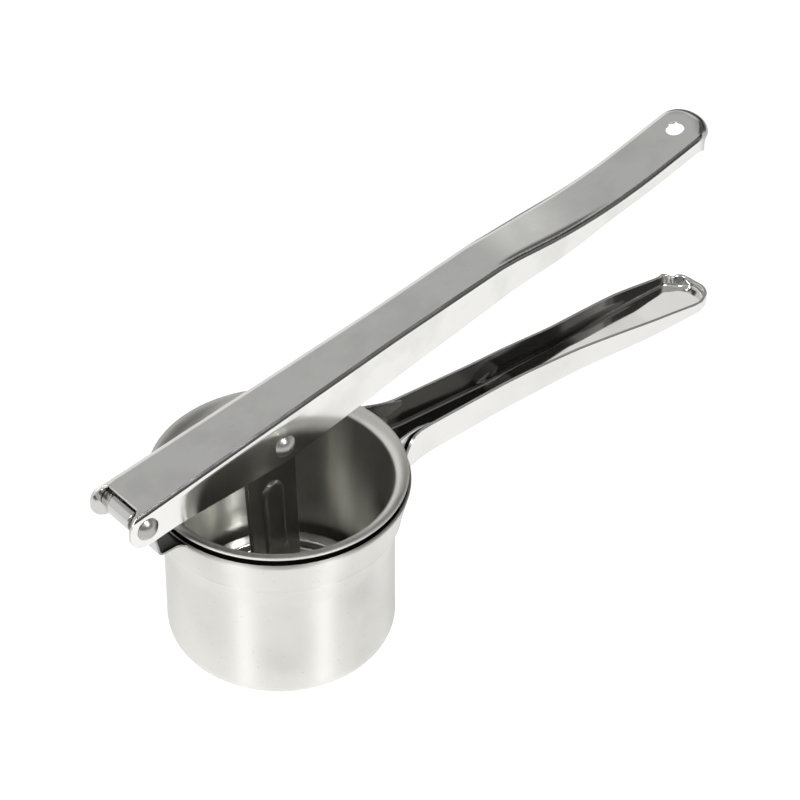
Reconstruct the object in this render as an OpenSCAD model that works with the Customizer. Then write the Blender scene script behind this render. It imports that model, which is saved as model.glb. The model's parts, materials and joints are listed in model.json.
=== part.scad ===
// Potato ricer: a pressed lever drives a round plunger into a perforated basket that hangs in an
// open-bottomed cup with a channel handle. Millimetres, Z up, origin on the cup's axis at its base.
// The hinge stands in front of the cup (-X) and both handles reach back (+X).

/* [Cup] */
// Outside radius of the straight lower wall
cup_r = 42; // [40:0.5:44]
// Height of the cup's rim above its base
cup_h = 71.2; // [66:0.2:76]
// How far the mouth flares out beyond the lower wall
mouth_flare = 6; // [5:0.25:7]
// Height at which the wall starts to flare
flare_z = 46; // [40:0.5:50]
// Depth of the band above the crease
band_h = 16; // [13:0.1:18]
// Flare already reached at the crease
crease_flare = 2.3; // [1.5:0.1:3.2]
// Outside radius of the bottom corner
cup_corner = 8.5; // [7:0.25:10]
// Width of the flat ring left round the open bottom
outlet_lip = 3; // [2:0.25:5]
// Sheet thickness of the cup
cup_sheet = 1; // [0.8:0.1:1.2]

/* [Basket] */
// Sheet thickness of the basket
basket_sheet = 0.7; // [0.6:0.1:0.9]
// Clearance between the basket and the cup's straight wall
basket_gap = 0.2; // [0.15:0.05:0.3]
// Outside radius of the basket's bottom corner
basket_corner = 4; // [3.5:0.25:5]
// How far the basket's wall opens from its straight part to the lip
basket_flare = 1.5; // [1:0.1:2.4]
// Width of the turned-out lip
lip_w = 4.8; // [4:0.1:5]
// Rise of the lip from the wall to its edge
lip_rise = 3.4; // [2.5:0.1:4]
// Gap between the cup's rim and the underside of the lip's edge
lip_gap = 1.8; // [1:0.1:2.5]
// Diameter of a press hole in the basket's floor
press_hole_d = 3.2; // [2.4:0.1:3.6]
// Distance between neighbouring press holes
press_pitch = 5.8; // [5.4:0.1:7]

/* [Hinge] */
// Distance of the hinge axis in front of the cup's mouth
hinge_reach = 18; // [15:0.5:20]
// Height of the hinge axis above the cup's rim
hinge_rise = 20.3; // [18:0.1:24]
// Radius of the hinge and pivot rivets' shanks
rivet_r = 2.5; // [2:0.1:2.75]
// Radius of the rivets' domed heads
head_r = 4.4; // [4:0.1:5]
// Height of a rivet's dome
head_h = 2; // [1.5:0.1:2.5]
// Radial running clearance between a rivet and the tube on it
running_gap = 0.05; // [0.03:0.01:0.08]
// Wall of the hinge sleeve
sleeve_wall = 1.05; // [0.8:0.05:1.2]
// Width of the rolled tongue
tongue_w = 12; // [9:0.5:14]
// Angle at which the tongue climbs towards the hinge
tongue_lean = 78; // [74:0.5:82]
// Radius of the fillets where the tongue leaves the cup's rim
tongue_fillet = 3.5; // [2:0.25:4]
// Radius of the lever's ears
ear_r = 7.5; // [7:0.1:8]

/* [Lever] */
// Length of the lever from the hinge axis to its tip
lever_len = 267.5; // [255:0.5:285]
// Slope of the lever above the level
lever_slope = 9; // [8.5:0.1:10]
// Sheet thickness of the lever
lever_sheet = 1.2; // [1:0.1:1.4]
// Outside radius of the bends along the lever
lever_bend = 3.2; // [2.4:0.1:3.6]
// Half-width of the lever at the hinge
hinge_half = 12; // [11.5:0.1:13]
// Half-width of the lever at its waist
waist_half = 9.7; // [9:0.1:10.5]
// Half-width of the lever's grip
grip_half = 10.9; // [10:0.1:12]
// Depth of the cheeks where the pivot rivet sits
cheek_depth = 21.5; // [20:0.25:24]
// Distance from the hinge to the neck, where the top starts to sag
neck_run = 161; // [152:1:170]
// Distance from the hinge to the place where the skirt is shallowest
grip_run = 216; // [206:1:226]
// Depth of the cheeks at the front of the grip
neck_depth = 15.2; // [13:0.2:17]
// Depth of the grip's skirt
skirt_depth = 6.8; // [6:0.1:8]
// How far the grip sags below the lever's straight line
grip_sag = 4.5; // [3:0.1:5.5]
// Radius of the hanging hole
hang_r = 3.6; // [3:0.1:4.5]
// Distance of the hanging hole from the lever's tip
hang_inset = 13.1; // [12.5:0.1:18]

/* [Lower handle] */
// Length of the lower handle from the cup's axis to its tip
handle_len = 206; // [190:1:215]
// Sheet thickness of the lower handle
handle_sheet = 1.2; // [1:0.1:1.4]
// Outside radius of the bends along the handle
handle_bend = 3.4; // [2.6:0.1:3.8]
// Height of the handle's underside below the cup's rim
handle_drop = 16.5; // [15:0.1:18]
// Depth of the handle's walls by the cup
handle_depth = 13.8; // [12:0.2:15]
// Depth of the handle's walls at its tip
handle_tip_depth = 4.6; // [4:0.1:6]
// Half-width of the handle's waist
handle_waist = 8.7; // [8:0.1:9.5]
// Half-width of the handle's grip
handle_grip = 11.2; // [10:0.1:12]
// Half-width of the handle where it meets the cup
handle_root = 13.4; // [12:0.1:14.5]
// Radius of the upper front corners of the handle's walls
handle_corner = 6; // [3:0.25:7]

/* [Plunger] */
// How far the pivot axis lies in front of the cup's axis
pivot_front = 4.6; // [3.6:0.1:5.6]
// Depth of the pivot axis below the lever's top
pivot_drop = 14; // [13:0.1:15]
// Room between the disc's edge and the basket's straight wall
disc_gap = 2.6; // [2.5:0.1:3.5]
// Width of the disc's outer flange
disc_flange = 4; // [3:0.25:6]
// Depth of the disc's sunk middle
disc_well = 3.3; // [2.5:0.1:3.5]
// Sheet thickness of the disc
disc_sheet = 1.2; // [1:0.1:1.4]
// Place of the disc's centre along X, a little off the basket's axis
disc_x = -0.5; // [-0.6:0.05:-0.2]
// Clearance between the disc's low edge and the basket's floor
disc_rest = 1.1; // [0.8:0.1:1.8]
// Width of the strut at its head
strut_w = 21.9; // [18:0.1:22.5]
// Width of the strut at its foot
strut_foot_w = 20; // [17:0.1:21]
// Sheet thickness of the strut
strut_sheet = 2; // [1.6:0.1:2.4]
// Width of the bead pressed into the strut
bead_w = 9; // [7:0.25:10]
// Height of the bead
bead_h = 2.5; // [1.5:0.1:2.75]
// Distance of the bead's upper end below the pivot axis
bead_top = 25; // [20:0.5:30]
// Depth of the strut's bent foot
foot_depth = 14; // [12:0.5:16]
// Radius of the foot rivets' shanks
foot_rivet_r = 1.6; // [1.3:0.1:2]

/* [Hidden] */
$fn = 96;
// Step of the arcs that make a bend, in degrees
bend_step = 15;
// Amount by which a cutter passes the surface that it cuts
over = 1;

// Cup
crease_z = cup_h - band_h;
mouth_r = cup_r + mouth_flare;
outlet_r = cup_r - cup_corner - outlet_lip;

// Basket
basket_r = cup_r - cup_sheet - basket_gap;
seat_gap = 0.05;
seat_reach = cup_corner - cup_sheet - seat_gap - basket_corner;
seat_side = basket_r - basket_corner - (cup_r - cup_corner);
basket_z = cup_corner - sqrt(seat_reach * seat_reach - seat_side * seat_side) - basket_corner;
floor_z = basket_z + basket_sheet;
lip_z = cup_h + lip_gap + basket_sheet;
wall_top_z = lip_z - lip_rise;

// Hinge
hinge_x = -(mouth_r + hinge_reach);
hinge_z = cup_h + hinge_rise;
sleeve_r = rivet_r + running_gap + sleeve_wall;
wrap_gap = 0.03;
knuckle_r = sleeve_r + wrap_gap + cup_sheet;
ear_cover = 0.3;

// Lever
pivot_x = -pivot_front;
tip_x = hinge_x + lever_len;
tip_round_x = tip_x - grip_half;
neck_x = hinge_x + neck_run;
grip_x = hinge_x + grip_run;
sag_x = neck_x;
sag_len = 2 * (grip_x - neck_x - 1);
cheek_x = pivot_x + 18;
cheek_taper = 0.9;
waist_x = neck_x - 47;
swell_x = neck_x + 10;
swell = 0.2;
grip_start_x = neck_x + 26;
ear_end_x = hinge_x + 12;
lever_front = hinge_x - ear_r - over;
side_play = 0.15;
head_gap = 0.05;

// Plunger
pivot_z = lever_line(pivot_x) - pivot_drop;
disc_r = basket_r - basket_sheet - disc_gap;
disc_well_r = disc_r - disc_flange;
rest_z = floor_z + disc_rest;
strut_lean = atan((disc_x - pivot_x) / (pivot_z - rest_z));
disc_z = rest_z + disc_well_r * sin(strut_lean);
strut_len = (pivot_z - disc_z) / cos(strut_lean) - disc_sheet;
bore_r = rivet_r + running_gap;
foot_bend = 3;
disc_corner = 2.2;
flange_bend = 1;
foot_head_h = 1.2;
foot_rivet_y = (foot_depth + foot_bend - 1) / 2;

// Value of a chain of points with its corners eased over s to each side
function eased(x, chain, s = 8) = (lookup(x - s, chain) + 2 * lookup(x, chain) + lookup(x + s, chain)) / 4;

// Outside radius of the cup: straight, then opening in a curve to the crease, then a straight band
function cup_wall(z) = z <= flare_z ? cup_r
    : z <= crease_z ? cup_r + crease_flare * pow((z - flare_z) / (crease_z - flare_z), 1.3)
    : cup_r + crease_flare + (mouth_flare - crease_flare) * (z - crease_z) / band_h;

// Outside radius of the basket, which opens slowly above the cup's straight wall
function basket_wall(z) = z <= flare_z ? basket_r
    : basket_r + basket_flare * pow((z - flare_z) / (wall_top_z - flare_z), 1.2);

// Lever: height of its top, depth of its cheeks and half its width, along X
function lever_line(x) = hinge_z + ear_r + ear_cover + (x - hinge_x) * tan(lever_slope);
function lever_top(x) = lever_line(x) - grip_sag * (x < sag_x || x > sag_x + sag_len ? 0
    : pow(sin(180 * (x - sag_x) / sag_len), 2));
lever_depths = [[ear_end_x, 2 * ear_r + ear_cover], [pivot_x, cheek_depth],
    [cheek_x, cheek_depth - cheek_taper], [neck_x, neck_depth], [grip_x, skirt_depth]];
lever_halves = [[hinge_x - ear_r, hinge_half], [waist_x, waist_half], [swell_x, waist_half + swell],
    [grip_start_x, grip_half]];
front_inset = 1.5;
lever_foot = function(x) lever_top(x) - eased(x, lever_depths, 5);
lever_half = function(x) eased(x, lever_halves);
lever_crown = function(x) lever_top(x);

// The hanging hole is square to the grip's top
hang_x = tip_x - hang_inset;
hang_tilt = atan((lever_top(hang_x + 1) - lever_top(hang_x - 1)) / 2);

// Lower handle, turned over so that its web is on top: height of the underside, of the edges, half-width
handle_drop_z = cup_h - handle_drop;
// Runs behind the rim at which the walls have lost these amounts of their depth
taper_runs = [0, 63, 106, 123];
taper_losses = [0, 0.9, 3.8, 5.2];
tip_run = 6;
handle_depths = concat([for (i = [0 : 3]) [mouth_r + taper_runs[i], handle_depth - taper_losses[i]]],
    [[handle_len - tip_run, handle_tip_depth]]);
// Runs behind the rim at which the handle is this much wider than at its waist
waist_runs = [10, 51, 89];
waist_extras = [1.6, 0, 0];
root_spread = 1.5;
handle_halves = concat([[cup_r, handle_root + root_spread], [mouth_r, handle_root]],
    [for (i = [0 : 2]) [mouth_r + waist_runs[i], handle_waist + waist_extras[i]]],
    [[mouth_r + taper_runs[3], handle_grip]]);
handle_rise = 0.012;
handle_crown = function(x) -handle_drop_z + handle_rise * (x - mouth_r);
handle_edge = function(x) handle_crown(x) - eased(x, handle_depths);
handle_half = function(x) eased(x, handle_halves, 5);
handle_round_x = handle_len - handle_grip;
weld_gap = 0.02;
web_front_x = mouth_r + 1.5;
web_front_z = handle_drop_z + handle_depth;

// Top edge of the webs behind the cup: from the rim down to the handle's edge
web_knee_x = mouth_r + 10;
web_end_x = mouth_r + 16;
web_rise = 0.8;
web_chain = [[mouth_r + 1, cup_h], [web_knee_x, -handle_edge(web_knee_x) + web_rise],
    [web_end_x + 1, -handle_edge(web_end_x + 1) - web_rise]];
function web_top(x) = eased(x, web_chain, 3);

// One closed ring of a channel: down its near side, round the tip and back along its far side
function ring(xs, round_x, round_r, half, inset, height) = concat(
    [for (x = xs) [x, inset - half(x), height(x)]],
    [for (a = [-82.5 : bend_step : 82.5]) let (x = round_x + (round_r - inset) * cos(a))
        [x, (round_r - inset) * sin(a), height(x)]],
    [for (i = [len(xs) - 1 : -1 : 0]) [xs[i], half(xs[i]) - inset, height(xs[i])]]);

// Solid inside a pressed channel with an open foot; inset shrinks it by the sheet for the inner form
module channel_form(front, round_x, round_r, half, foot, crown, bend, inset = 0) {
    xs = [for (i = [0 : 40]) front + (round_x - front - bend) * i / 40];
    corner = bend - inset;
    rings = concat(
        [ring(xs, round_x, round_r, half, inset, function(x) foot(x) - 2 * inset)],
        [for (a = [0 : bend_step : 90]) ring(xs, round_x, round_r, half, inset + corner * (1 - cos(a)),
            function(x) crown(x) - inset - corner * (1 - sin(a)))]);
    n = len(rings[0]);
    sides = [for (k = [0 : len(rings) - 2], j = [0 : n - 1])
        [k * n + j, (k + 1) * n + j, (k + 1) * n + (j + 1) % n, k * n + (j + 1) % n]];
    last = (len(rings) - 1) * n;
    top_faces = [for (j = [0 : n / 2 - 2]) [last + j, last + n - 1 - j, last + n - 2 - j, last + j + 1]];
    foot_faces = [for (j = [0 : n / 2 - 2]) [j, j + 1, n - 2 - j, n - 1 - j]];
    polyhedron(points = [for (r = rings) each r], faces = concat(sides, top_faces, foot_faces));
}

// Cylinder along Y, centred on the ricer's middle plane
module cross_cylinder(r, length) {
    rotate([90, 0, 0])
        cylinder(r = r, h = length, center = true);
}

// Tube along Y from y0 to y1, with a bore that runs on a rivet
module cross_tube(outer, y0, y1) {
    translate([0, y1, 0])
        rotate([90, 0, 0])
            difference() {
                cylinder(r = outer, h = y1 - y0);
                translate([0, 0, -over])
                    cylinder(r = bore_r, h = y1 - y0 + 2 * over);
            }
}

// Solid that stands width wide across the ricer on a side view drawn in X and Z
module side_view(width) {
    rotate([90, 0, 0])
        linear_extrude(width, center = true)
            children();
}

// Puts its child at the hinge axis
module at_hinge() {
    translate([hinge_x, 0, hinge_z])
        children();
}

// Puts its child at the pivot axis
module at_pivot() {
    translate([pivot_x, 0, pivot_z])
        children();
}

// Puts its child in the plunger's own frame: origin on the pivot axis, Z up along the leaning strut
module along_strut() {
    at_pivot()
        rotate([0, -strut_lean, 0])
            children();
}

// Domed rivet head that stands on z = 0
module dome(r, h) {
    sphere_r = (r * r + h * h) / (2 * h);
    intersection() {
        translate([0, 0, h - sphere_r])
            sphere(r = sphere_r);
        cylinder(r = r, h = h + over);
    }
}

// Rivet along Y with a domed head outside each of two cheeks, whose outer faces are half from the middle
module cross_rivet(half) {
    cross_cylinder(rivet_r, 2 * half + head_h / 2);
    for (side = [-1, 1])
        translate([0, side * half, 0])
            rotate([-90 * side, 0, 0])
                dome(head_r, head_h);
}

// Points on an arc about c, from angle a0 to a1
function arc(c, r, a0, a1, steps = 8) = [for (i = [0 : steps]) let (a = a0 + (a1 - a0) * i / steps)
    c + r * [cos(a), sin(a)]];

// The same points in the other order
function back(points) = [for (i = [len(points) - 1 : -1 : 0]) points[i]];

// Outline of the cup from its outlet to its rim, inset by s from the outside
function cup_outline(s) = concat(
    [[outlet_r, s]],
    arc([cup_r - cup_corner, cup_corner], cup_corner - s, -90, 0),
    [for (i = [0 : 10]) let (z = flare_z + (crease_z - flare_z) * i / 10) [cup_wall(z) - s, z]],
    [[mouth_r - s, cup_h]]);

// Everything within the cup's outside, grown by s
module cup_form(s = 0) {
    rotate_extrude()
        polygon(concat([[0, -s]], cup_outline(-s), [[mouth_r + s, cup_h + over], [0, cup_h + over]]));
}

// Ring of sheet at the rim that spreads into the tongue with a fillet on each side
module tongue_root() {
    reach = tongue_w / 2 + tongue_fillet;
    translate([0, 0, cup_h - cup_sheet])
        linear_extrude(cup_sheet)
            difference() {
                translate([-mouth_r - tongue_fillet, -reach])
                    square([2 * tongue_fillet, 2 * reach]);
                for (side = [-1, 1])
                    translate([-mouth_r - tongue_fillet, side * reach])
                        circle(r = tongue_fillet);
                circle(r = mouth_r - cup_sheet / 2);
            }
}

// Side view of the tongue: level at the rim, bent up, then rolled up and over the hinge sleeve
module tongue_side() {
    bend_r = 2;
    roll = 285;
    level = cup_h - cup_sheet / 2;
    mid_r = knuckle_r - cup_sheet / 2;
    touch_a = 90 - tongue_lean;
    touch_z = hinge_z + mid_r * sin(touch_a);
    corner_x = hinge_x + mid_r * cos(touch_a) + (touch_z - level) / tan(tongue_lean);
    bend_c = [corner_x + bend_r * tan(tongue_lean / 2), level + bend_r];
    hinge_c = [hinge_x, hinge_z];
    start_x = -mouth_r + cup_sheet / 2;
    under = concat([[start_x, cup_h - cup_sheet]],
        arc(bend_c, bend_r + cup_sheet / 2, -90, -90 - tongue_lean, 5),
        arc(hinge_c, knuckle_r - cup_sheet, touch_a, touch_a + roll, 28));
    upper = concat([[start_x, cup_h]],
        arc(bend_c, bend_r - cup_sheet / 2, -90, -90 - tongue_lean, 5),
        arc(hinge_c, knuckle_r, touch_a, touch_a + roll, 28));
    polygon(concat(under, back(upper)));
}

// Two webs that run from the rim into the lower handle, inside its walls
module rear_webs() {
    xs = [for (i = [0 : 8]) cup_r + (web_end_x - cup_r) * i / 8];
    web_low = cup_h - band_h;
    intersection() {
        mirror([0, 0, 1])
            difference() {
                handle_form(handle_sheet + weld_gap);
                handle_form(handle_sheet + weld_gap + cup_sheet);
            }
        side_view(4 * handle_root)
            polygon(concat([for (x = xs) [x, web_top(x)]],
                [[web_end_x, web_top(web_end_x) - 2 * cup_sheet], [cup_r, web_low]]));
        difference() {
            translate([cup_r, -2 * handle_root, 0])
                cube([2 * cup_r, 4 * handle_root, cup_h]);
            cup_form(-cup_sheet / 2);
        }
    }
}

module outer_cup() {
    color("silver") {
        rotate_extrude()
            polygon(concat(cup_outline(0), back(cup_outline(cup_sheet))));
        tongue_root();
        side_view(tongue_w)
            tongue_side();
        rear_webs();
    }
}

// Solid within the lower handle's walls, turned over, shrunk by inset
module handle_form(inset = 0) {
    channel_form(cup_r - over, handle_round_x, handle_grip, handle_half, handle_edge, handle_crown,
        handle_bend, inset);
}

module lower_handle() {
    color("silver")
        difference() {
            mirror([0, 0, 1])
                difference() {
                    handle_form();
                    handle_form(handle_sheet);
                }
            cup_form(weld_gap);
            // Rounded upper front corners of both walls
            side_view(4 * handle_root)
                difference() {
                    translate([0, web_front_z - handle_corner])
                        square([web_front_x + handle_corner, 2 * handle_corner]);
                    translate([web_front_x + handle_corner, web_front_z - handle_corner])
                        circle(r = handle_corner);
                }
        }
}

// Outline of the basket from the middle of its floor to its lip, inset by s from the outside
function basket_outline(s) = concat(
    [[0, basket_z + s]],
    arc([basket_r - basket_corner, basket_z + basket_corner], basket_corner - s, -90, 0),
    [for (i = [0 : 10]) let (z = flare_z + (wall_top_z - flare_z) * i / 10) [basket_wall(z) - s, z]],
    [for (a = [15 : bend_step : 75]) let (r = basket_wall(wall_top_z) + lip_w * (1 - cos(a)))
        [r - s * cos(a), wall_top_z + (lip_rise - basket_sheet + s) * sin(a)]],
    [[basket_wall(wall_top_z) + lip_w, lip_z - basket_sheet + s]]);

// Press holes in rings of six, twelve, eighteen and so on about the middle one
module press_holes() {
    rings = floor((outlet_r - press_hole_d / 2 - 1) / press_pitch);
    translate([0, 0, basket_z - over]) {
        cylinder(d = press_hole_d, h = basket_sheet + 2 * over, $fn = 16);
        for (k = [1 : rings], i = [0 : 6 * k - 1])
            rotate(60 * i / k)
                translate([k * press_pitch, 0, 0])
                    cylinder(d = press_hole_d, h = basket_sheet + 2 * over, $fn = 16);
    }
}

module basket() {
    color("gainsboro")
        difference() {
            rotate_extrude()
                polygon(concat(basket_outline(0), back(basket_outline(basket_sheet))));
            press_holes();
        }
}

// Cuts the front of the lever to two round ears and clears the web from between them
module ear_cut() {
    inner = lever_half(hinge_x) - lever_sheet;
    side_view(4 * hinge_half)
        difference() {
            translate([hinge_x - 2 * ear_r, hinge_z - 2 * ear_r])
                square([2 * ear_r, 4 * ear_r]);
            translate([hinge_x, hinge_z])
                circle(r = ear_r);
        }
    side_view(2 * inner)
        translate([hinge_x - 2 * ear_r, hinge_z])
            square([2 * ear_r - front_inset, 2 * ear_r]);
}

module lever() {
    color("silver")
        difference() {
            channel_form(lever_front, tip_round_x, grip_half, lever_half, lever_foot, lever_crown,
                lever_bend);
            channel_form(lever_front - over, tip_round_x, grip_half, lever_half, lever_foot, lever_crown,
                lever_bend, lever_sheet);
            ear_cut();
            at_hinge()
                cross_cylinder(rivet_r, 4 * hinge_half);
            at_pivot()
                cross_cylinder(rivet_r, 4 * hinge_half);
            translate([hang_x, 0, lever_top(hang_x)])
                rotate([0, -hang_tilt, 0])
                    cylinder(r = hang_r, h = 4 * skirt_depth, center = true);
        }
}

// Length that the sleeve and the spacers leave free beside the cheeks
function cheek_inner(x) = lever_half(x) - lever_sheet - side_play;

module hinge_sleeve() {
    color("gray")
        at_hinge()
            cross_tube(sleeve_r, -cheek_inner(hinge_x), cheek_inner(hinge_x));
}

module hinge_rivet() {
    color("lightgray")
        at_hinge()
            cross_rivet(lever_half(hinge_x) + head_gap);
}

module pivot_rivet() {
    color("lightgray")
        at_pivot()
            cross_rivet(lever_half(pivot_x) + head_gap);
}

// Tube between a cheek and the strut: side is -1 for the near one and 1 for the far one
module spacer(side) {
    mid = (cheek_inner(pivot_x) + strut_sheet / 2 + running_gap) / 2;
    half = (cheek_inner(pivot_x) - strut_sheet / 2 - running_gap) / 2;
    color("gray")
        at_pivot()
            cross_tube(sleeve_r, side * mid - half, side * mid + half);
}

module near_spacer() {
    spacer(-1);
}

module far_spacer() {
    spacer(1);
}

// Round-ended bar along the strut, shrunk by inset, whose surface crosses the strut's face bead_w wide
module bead_bar(inset) {
    bead_r = (bead_w * bead_w / 4 + bead_h * bead_h) / (2 * bead_h);
    top_z = -bead_top - bead_w / 2;
    low_z = foot_bend - strut_len;
    translate([0, bead_r - bead_h - strut_sheet / 2, 0]) {
        translate([0, 0, low_z])
            cylinder(r = bead_r - inset, h = top_z - low_z);
        translate([0, 0, top_z])
            sphere(r = bead_r - inset);
    }
}

// Foot of the strut: a bend and a flat flange towards +Y, across the strut's width
module strut_foot() {
    face = strut_sheet / 2;
    c = [foot_bend - face, foot_bend - strut_len];
    rotate([90, 0, 90])
        linear_extrude(strut_foot_w, center = true)
            polygon(concat(arc(c, foot_bend, 180, 270),
                [[foot_depth, -strut_len], [foot_depth, strut_sheet - strut_len]],
                arc(c, foot_bend - strut_sheet, 270, 180)));
}

module plunger_strut() {
    color("darkgray")
        along_strut() {
            difference() {
                union() {
                    side_view(strut_sheet) {
                        circle(r = strut_w / 2);
                        polygon([[-strut_w / 2, 0], [strut_w / 2, 0],
                            [strut_foot_w / 2, foot_bend - strut_len],
                            [-strut_foot_w / 2, foot_bend - strut_len]]);
                    }
                    intersection() {
                        bead_bar(0);
                        translate([-strut_w / 2, -strut_w, -strut_len])
                            cube([strut_w, strut_w, strut_len]);
                    }
                }
                bead_bar(strut_sheet);
                cross_cylinder(bore_r, 2 * strut_w);
            }
            difference() {
                strut_foot();
                translate([0, 0, -strut_len - over])
                    at_foot_rivets()
                        cylinder(r = foot_rivet_r, h = strut_sheet + 2 * over);
            }
        }
}

// Half outline of the disc: sunk flat middle, short wall, flat outer flange
function disc_outline() = concat(
    [[0, 0]],
    arc([disc_well_r - disc_corner, disc_corner], disc_corner, -90, 0, 5),
    [[disc_well_r, disc_well], [disc_r, disc_well], [disc_r, disc_well + disc_sheet]],
    arc([disc_well_r - disc_sheet + flange_bend, disc_well + disc_sheet - flange_bend],
        flange_bend, 90, 180, 4),
    arc([disc_well_r - disc_corner, disc_corner], disc_corner - disc_sheet, 0, -90, 5),
    [[0, disc_sheet]]);

module plunger_disc() {
    color("silver")
        along_strut()
            translate([0, 0, -strut_len - disc_sheet])
                difference() {
                    rotate_extrude()
                        polygon(disc_outline());
                    at_foot_rivets()
                        translate([0, 0, -over])
                            cylinder(r = foot_rivet_r, h = disc_sheet + 2 * over);
                }
}

// Copies its child to each foot rivet
module at_foot_rivets() {
    for (side = [-1, 1])
        translate([side * strut_foot_w / 4, foot_rivet_y, 0])
            children();
}

module foot_rivets() {
    color("lightgray")
        along_strut()
            translate([0, 0, -strut_len - disc_sheet])
                at_foot_rivets() {
                    cylinder(r = foot_rivet_r, h = disc_sheet + strut_sheet);
                    translate([0, 0, disc_sheet + strut_sheet])
                        dome(2 * foot_rivet_r, foot_head_h);
                    mirror([0, 0, 1])
                        dome(2 * foot_rivet_r, 0.8);
                }
}

outer_cup();
lower_handle();
basket();
lever();
hinge_sleeve();
hinge_rivet();
pivot_rivet();
near_spacer();
far_spacer();
plunger_strut();
plunger_disc();
foot_rivets();
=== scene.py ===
# Potato ricer: pressed and drawn stainless steel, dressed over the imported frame
import json
import math

import bmesh
import bpy
import numpy as np
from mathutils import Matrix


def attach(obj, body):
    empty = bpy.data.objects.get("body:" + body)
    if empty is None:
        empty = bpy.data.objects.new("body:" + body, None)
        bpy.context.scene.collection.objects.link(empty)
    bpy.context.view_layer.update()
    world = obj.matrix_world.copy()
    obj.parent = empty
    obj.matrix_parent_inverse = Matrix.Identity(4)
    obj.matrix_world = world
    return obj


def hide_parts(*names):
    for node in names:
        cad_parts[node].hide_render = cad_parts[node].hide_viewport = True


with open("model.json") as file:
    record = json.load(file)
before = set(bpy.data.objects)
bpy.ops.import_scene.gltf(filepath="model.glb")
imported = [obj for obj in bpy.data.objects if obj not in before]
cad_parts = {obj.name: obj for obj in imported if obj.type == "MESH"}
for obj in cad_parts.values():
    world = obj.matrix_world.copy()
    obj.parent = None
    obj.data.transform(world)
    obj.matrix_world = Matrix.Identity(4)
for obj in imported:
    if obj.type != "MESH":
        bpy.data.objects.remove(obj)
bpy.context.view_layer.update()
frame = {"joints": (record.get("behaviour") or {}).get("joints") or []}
mm = 0.001
print("frame loaded")


# helpers for surfaces; all their lengths are in millimetres
def gridFaces(nu, nv, wrapU=False, wrapV=False):
    # each cell of a nu by nv grid of points becomes one four-sided face
    i, j = np.meshgrid(np.arange(nu - (not wrapU)), np.arange(nv - (not wrapV)), indexing="ij")
    ii, jj = (i + 1) % nu, (j + 1) % nv
    return np.stack([i * nv + j, ii * nv + j, ii * nv + jj, i * nv + jj], axis=-1).reshape(-1, 4)


def joinGrids(parts):
    # stacks (points, faces) pairs into one pair
    points, faces, start = [], [], 0
    for p, f in parts:
        points.append(p.reshape(-1, 3))
        faces.append(f + start)
        start += p.size // 3
    return np.concatenate(points), np.concatenate(faces)


def makeMesh(name, points, faces, values=None, smoothAngle=40, weld=1e-6, turnOut=True):
    # points in millimetres; values holds one number a point under each attribute's name
    mesh = bpy.data.meshes.new(name)
    repeats = faces == np.roll(faces, 1, axis=1)
    whole, cut = faces[repeats.sum(axis=1) == 0], repeats.sum(axis=1) == 1
    corners = faces[cut][~repeats[cut]].reshape(-1, 3)
    whole = whole[(whole[:, 0] != whole[:, 2]) & (whole[:, 1] != whole[:, 3])]
    mesh.from_pydata((points.reshape(-1, 3) * mm).tolist(), [], whole.tolist() + corners.tolist())
    mesh.validate()
    for key, numbers in (values or {}).items():
        mesh.attributes.new(key, "FLOAT", "POINT").data.foreach_set("value", numbers.astype(np.float32))
    soup = bmesh.new()
    soup.from_mesh(mesh)
    bmesh.ops.remove_doubles(soup, verts=soup.verts, dist=weld)
    bmesh.ops.dissolve_degenerate(soup, edges=soup.edges, dist=weld)
    if turnOut:
        bmesh.ops.recalc_face_normals(soup, faces=soup.faces)
    soup.to_mesh(mesh)
    soup.free()
    mesh.shade_smooth()
    mesh.set_sharp_from_angle(angle=math.radians(smoothAngle))
    piece = bpy.data.objects.new(name, mesh)
    bpy.context.collection.objects.link(piece)
    return piece


def dress(piece, material, body, node=None):
    # gives a piece its finish and the body it rides on, and hides the plain node that it stands in for
    piece.data.materials.clear()
    piece.data.materials.append(material)
    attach(piece, body)
    if node:
        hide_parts(node)
    return piece


def revolve(profile, steps=192, centre=(0, 0, 0)):
    # turns a closed profile of (radius, height) about Z: x = r cos a, y = r sin a
    a = np.linspace(0, 2 * math.pi, steps, endpoint=False)[:, None]
    r, z = profile[:, 0][None, :], profile[:, 1][None, :]
    p = np.stack([r * np.cos(a), r * np.sin(a), z + 0 * a], axis=-1) + np.array(centre)
    return p, gridFaces(steps, len(profile), True, True)


def arcPoints(c, r, a0, a1, n=9):
    # n points on a circle about c, from angle a0 to a1 in degrees
    a = np.radians(np.linspace(a0, a1, n))
    return np.stack([c[0] + r * np.cos(a), c[1] + r * np.sin(a)], axis=-1)


def chain(x, knots, ease=8.0):
    # straight lines through the knots, with the corners eased over ease to each side
    kx, ky = np.array(knots).T
    at = lambda s: np.interp(x + s, kx, ky)
    return (at(-ease) + 2 * at(0) + at(ease)) / 4


def offsetCurve(p, d):
    # moves each point of an open curve sideways by d, to the left of its run
    t = np.gradient(p, axis=0)
    t /= np.linalg.norm(t, axis=1, keepdims=True)
    return p + d * np.stack([-t[:, 1], t[:, 0]], axis=-1)


def punch(points, faces, centre, across, radius):
    # cuts a round hole in a fine grid: drops the faces within it and moves the rest of its points out to its rim
    flat = points.reshape(-1, 3)
    away = (flat - centre) @ np.array(across).T
    gap = np.linalg.norm(away, axis=1)
    inside = (gap < radius) & (np.abs((flat - centre) @ np.cross(*across)) < radius)
    faces = faces[~inside[faces].all(axis=1)]
    move = inside & np.isin(np.arange(len(flat)), faces)
    step = away[move] * (radius / np.maximum(gap[move], 1e-6) - 1)[:, None]
    flat = flat.copy()
    flat[move] += step @ np.array(across)
    return flat, faces


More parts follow.
